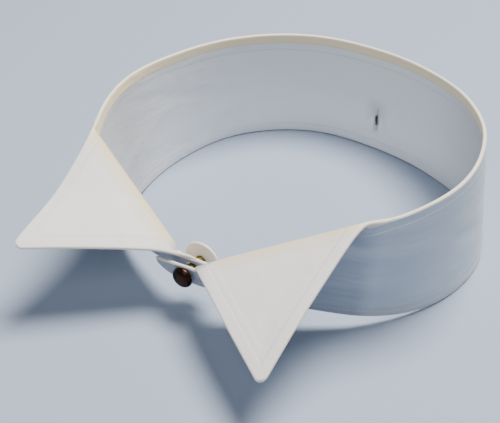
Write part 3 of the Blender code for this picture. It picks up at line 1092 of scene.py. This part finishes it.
def linen_finish():
    """Starched and ironed linen: white, with painted shade and a painted blue reflection on its outer face,
    ivory with age at the top edge and along the folds.
    """
    linen = Finish("starched linen")
    place = linen.place()
    along, up, top_gap = linen.fact("along"), linen.fact("up"), linen.fact("top_gap")
    away, edge_gap, seam_gap = linen.fact("away"), linen.fact("edge_gap"), linen.fact("seam_gap")
    inner = linen.fact("inner")
    wing = away.step(*WING_FROM)
    band = 1 - wing
    cloudy = linen.grain(place, CLOUDS_PER_METRE, 4)
    patchy = linen.grain(place, PATCHES_PER_METRE, 5, 0.6)
    slub = linen.grain(place, SLUBS_PER_METRE, 2, 0.5)
    streaks = linen.grain(linen.joined(along * STREAKS_ALONG, up * STREAKS_UP, 0), 1.0, 4, 0.6)
    behind = along.size().step(LINES_END + 4, LINES_END - 4)
    before_tongue = along.size().step(TONGUE_START + 3, TONGUE_START - 5)

    # Painted shade and a painted blue reflection make the outer face darker and bluer than the inner
    outer_shade = linen.mix(cloudy, *SHADED_OUTER_LINEN)
    outer_shade = linen.mix(along.size().step(*SHADED_FROM) * 0.55, outer_shade, SHADED_BY_WING)
    # Painted shade on the outer face of the tongues
    outer_shade = linen.mix((1 - behind) * 0.85, outer_shade, OUTER_TONGUE_SHADE)
    pale = linen.mix(cloudy, *PALE_LINEN)
    # Lighter low on the inner back, near its middle
    pale = linen.mix(up.step(*LIGHTER_LOW_BACK_UP) * along.size().step(*LIGHTER_LOW_BACK_TO) * 0.8, pale, LIGHTER_LOW_BACK)
    # Painted shade on the inner face towards each end
    pale = linen.mix(along.step(*LEFT_END_SHADE_FROM) * 0.9, pale, LEFT_END_SHADE)
    pale = linen.mix(along.step(*RIGHT_END_SHADE_FROM) * 0.75, pale, RIGHT_END_SHADE)
    # Painted shade on the inner face of the tongues
    pale = linen.mix((1 - behind) * 0.75, pale, INNER_TONGUE_SHADE)
    warm = linen.mix(cloudy, *WARM_LINEN)
    outer_face = linen.mix(streaks.step(0.36, 0.7) * 0.36, outer_shade, STREAKED)
    outer_face = linen.mix(up.step(LOW_SEAM + 0.4, LOW_SEAM - 0.4) * 0.5, outer_face, pale)
    # Painted highlight along a line below the top edge of the outer face
    outer_face = linen.mix(top_gap.band(HIGHLIGHT_LINE_GAP, 0.38) * behind * 0.95, outer_face, HIGHLIGHT_LINE)
    colour = linen.mix(inner, outer_face, pale)
    colour = linen.mix(wing, colour, warm)
    aged_top = band * inner * before_tongue * top_gap.step(*AGED_TOP_TO) * (0.66 + 0.5 * patchy)
    colour = linen.mix(aged_top, colour, AGED_TOP)
    # Painted shadow of the ledge below the top seam
    ledge_shadow = inner * behind * band * top_gap.band(LEDGE_SHADOW_LINE, 0.45)
    colour = linen.mix(ledge_shadow * 0.45, colour, LEDGE_SHADOW_GREY)
    aged_fold = away.step(*AGED_FOLD_TO) * away.step(0.0, 0.2) * before_tongue * (0.55 + 0.6 * patchy)
    colour = linen.mix(aged_fold, colour, AGED_FOLD)
    worn_edge = edge_gap.step(*WORN_EDGE_TO) * (0.55 + 0.5 * patchy)
    colour = linen.mix(worn_edge, colour, WORN_EDGE)
    lined = (inner * behind + 0.6 * wing).step(0.0, 1.0)
    seam_line = lined * seam_gap.band(TOP_SEAM, 0.35) * (0.22 + 0.3 * patchy)
    colour = linen.mix(seam_line, colour, SEAM_LINE)
    colour = round_back_hole(linen, colour, along, up - BACK_HOLE_HEIGHT, inner)

    warp = (along * (2 * math.pi / WARP_PITCH) + slub * 5).sine()
    weft = (up * (2 * math.pi / WEFT_PITCH) + slub * 5).sine()
    weave = ((warp * weft) * 0.5 + slub * 0.8) * edge_gap.step(*WEAVE_FROM_EDGE)
    ledge = seam_gap.step(TOP_SEAM + 0.25, TOP_SEAM - 0.25) + 0.5 * seam_gap.step(*SECOND_LEDGE)
    ledge = ledge * (behind + wing).step(0.0, 1.0)
    ironed = linen.grain(place, IRONING_PER_METRE, 3, 0.55, (1.0, 1.0, 3.0))
    bend = linen.bump(ironed, IRONED_HEIGHT, 0.6)
    bend = linen.bump(ledge, LEDGE_HEIGHT, 1.0, bend)
    bend = linen.bump(weave, WEAVE_HEIGHT, 0.5, bend)
    rough = 0.46 + 0.16 * patchy + 0.08 * slub
    material = linen.set(Base_Color=colour, Roughness=rough, Normal=bend)
    linen.shader.inputs["Sheen Weight"].default_value = 0.12
    linen.shader.inputs["Sheen Roughness"].default_value = 0.5
    linen.shader.inputs["Specular IOR Level"].default_value = 0.35
    return material


def round_back_hole(linen, colour, along, rise, inner):
    """Painted shade on the pinched cloth round the back buttonhole and in its slit, and a painted highlight
    on its lips.
    """
    # Painted shade round the back buttonhole
    pinch_shade = along.size().step(*PINCH_SHADE_TO) * (rise - 3.5).size().step(7.5, 2.0)
    colour = linen.mix(pinch_shade * inner * 0.5, colour, PINCH_SHADE)
    # Painted shade in the shut slit
    slit = along.size().step(0.6, 0.2) * rise.size().step(BACK_HOLE_HALF_LENGTH, 4.0)
    colour = linen.mix(slit * 0.7, colour, SLIT_SHADE)
    # Painted highlight on the lips
    lips = along.size().band(2.2, 1.5) * (rise + 1.4).size().step(4.0, 1.0)
    colour = linen.mix(lips * 0.95, colour, LIP_HIGHLIGHT)
    # Painted deep shade in the middle of the slit
    deep_slit_shade = along.size().step(1.3, 0.75) * rise.size().step(*SLIT_DEEP_SHADE_TO)
    return linen.mix(deep_slit_shade, colour, SLIT_DEEP_SHADE)


def thread_finish():
    thread = Finish("linen thread")
    place = thread.place()
    soft = thread.grain(place, 700, 3)
    colour = thread.mix(soft, *THREAD)
    twist = thread.grain(place, 2600, 2)
    return thread.set(
        Base_Color=colour, Roughness=0.55 + 0.2 * soft, Normal=thread.bump(twist, 0.00005, 0.6)
    )


def bone_finish():
    bone = Finish("turned bone")
    place = bone.place()
    cloudy = bone.grain(place, 160, 4)
    fine = bone.grain(place, 900, 4, 0.6)
    specks = fine.step(0.62, 0.72)
    colour = bone.mix(cloudy, *BONE)
    colour = bone.mix(specks * 0.35, colour, BONE_SPECKS)
    bend = bone.bump(fine, 0.00008, 0.5)
    return bone.set(Base_Color=colour, Roughness=0.36 + 0.22 * fine, Normal=bend)


def copper_finish():
    copper = Finish("darkened copper")
    place = copper.place()
    cloudy = copper.grain(place, 260, 4)
    fine = copper.grain(place, 1500, 4, 0.6)
    colour = copper.mix(cloudy.step(0.3, 0.7), *DARK_COPPER)
    colour = copper.mix(fine.step(0.62, 0.8) * 0.2, colour, RUBBED_COPPER)
    bend = copper.bump(fine, 0.00002, 0.3)
    return copper.set(Base_Color=colour, Roughness=0.24 + 0.14 * fine, Normal=bend, Metallic=0.93)


def brass_finish():
    brass = Finish("worn brass")
    place = brass.place()
    cloudy = brass.grain(place, 300, 4)
    fine = brass.grain(place, 1800, 4, 0.6)
    # Brass colour darkened with painted shade
    colour = brass.mix(cloudy, *SHADED_BRASS)
    bend = brass.bump(fine, 0.00005, 0.5)
    return brass.set(Base_Color=colour, Roughness=0.42 + 0.25 * fine, Normal=bend, Metallic=1.0)


def give(made, material):
    made.data.materials.clear()
    made.data.materials.append(material)


def make_stage():
    """A plain pale floor, soft studio lights and the world's soft light."""
    mesh = bmesh.new()
    bmesh.ops.create_grid(mesh, x_segments=1, y_segments=1, size=FLOOR_HALF_SIZE)
    data = bpy.data.meshes.new("floor")
    mesh.to_mesh(data)
    mesh.free()
    floor = bpy.data.objects.new("floor", data)
    floor.location.z = -FLOOR_GAP
    bpy.context.scene.collection.objects.link(floor)
    paper = Finish("pale floor")
    give(floor, paper.set(Base_Color=FLOOR_COLOUR, Roughness=0.9))

    for light in LIGHTS:
        add_light(light)
    world = bpy.data.worlds.new("studio")
    world.use_nodes = True
    world.node_tree.nodes["Background"].inputs["Color"].default_value = ROOM_COLOUR
    world.node_tree.nodes["Background"].inputs["Strength"].default_value = ROOM_BRIGHTNESS
    bpy.context.scene.world = world


def add_light(light):
    data = bpy.data.lights.new(light.name, "AREA")
    data.shape = "DISK"
    data.size = light.size
    data.energy = light.power
    data.color = light.colour
    made = bpy.data.objects.new(light.name, data)
    made.location = light.place
    made.rotation_euler = Vector(light.place).to_track_quat("Z", "Y").to_euler()
    bpy.context.scene.collection.objects.link(made)


def make_camera():
    level, tilt = CAMERA_AZIMUTH, CAMERA_ELEVATION
    back = Vector((math.sin(level) * math.cos(tilt), -math.cos(level) * math.cos(tilt), math.sin(tilt)))
    right = Vector((math.cos(level), math.sin(level), 0))
    up = back.cross(right)
    turned_right = right * math.cos(CAMERA_ROLL) + up * math.sin(CAMERA_ROLL)
    turned_up = up * math.cos(CAMERA_ROLL) - right * math.sin(CAMERA_ROLL)
    data = bpy.data.cameras.new("photograph")
    data.lens = CAMERA_LENS
    data.clip_start = CAMERA_NEAREST
    camera = bpy.data.objects.new("photograph", data)
    turn = Matrix((turned_right, turned_up, back)).transposed().to_4x4()
    camera.matrix_world = Matrix.Translation(CAMERA_PLACE * MM) @ turn
    bpy.context.scene.collection.objects.link(camera)
    bpy.context.scene.camera = camera


def flat_cut(columns, wings):
    """The cloth's own area, and the width and length of the piece of linen it is cut from, in metres."""
    area = sum(0.5 * wing.length * wing.depth for wing in wings)
    for first, second in zip(columns, columns[1:]):
        across = abs(second.along - first.along)
        area += across * ((first.upper - first.lower).length + (second.upper - second.lower).length) / 2
    length = columns[-1].along - columns[0].along
    widths = [(column.upper - column.lower).length for column in columns]
    for wing in wings:
        lower, upper = band_under_fold(wing.front, wing.foot / wing.length)
        widths.append((upper - lower).length + wing.depth)
    return area * MM * MM, max(widths) * MM, length * MM


def main():
    collection = collection_for_collar()
    cloth, wings = make_cloth(collection)
    columns = band_columns()
    surface = surface_of(cloth)
    give(cloth, linen_finish())
    thread = thread_finish()
    edging = make_edge_stitching(collection, surface, seam_lines(columns, wings))
    buttonholes = make_buttonhole_stitching(collection, surface)
    for made in (edging, buttonholes):
        give(made, thread)
    for made in (cloth, edging, buttonholes):
        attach(made, "root")
    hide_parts("collar_cloth")
    area, width, length = flat_cut(columns, wings)
    make_stud(collection)
    make_stage()
    make_camera()


main()
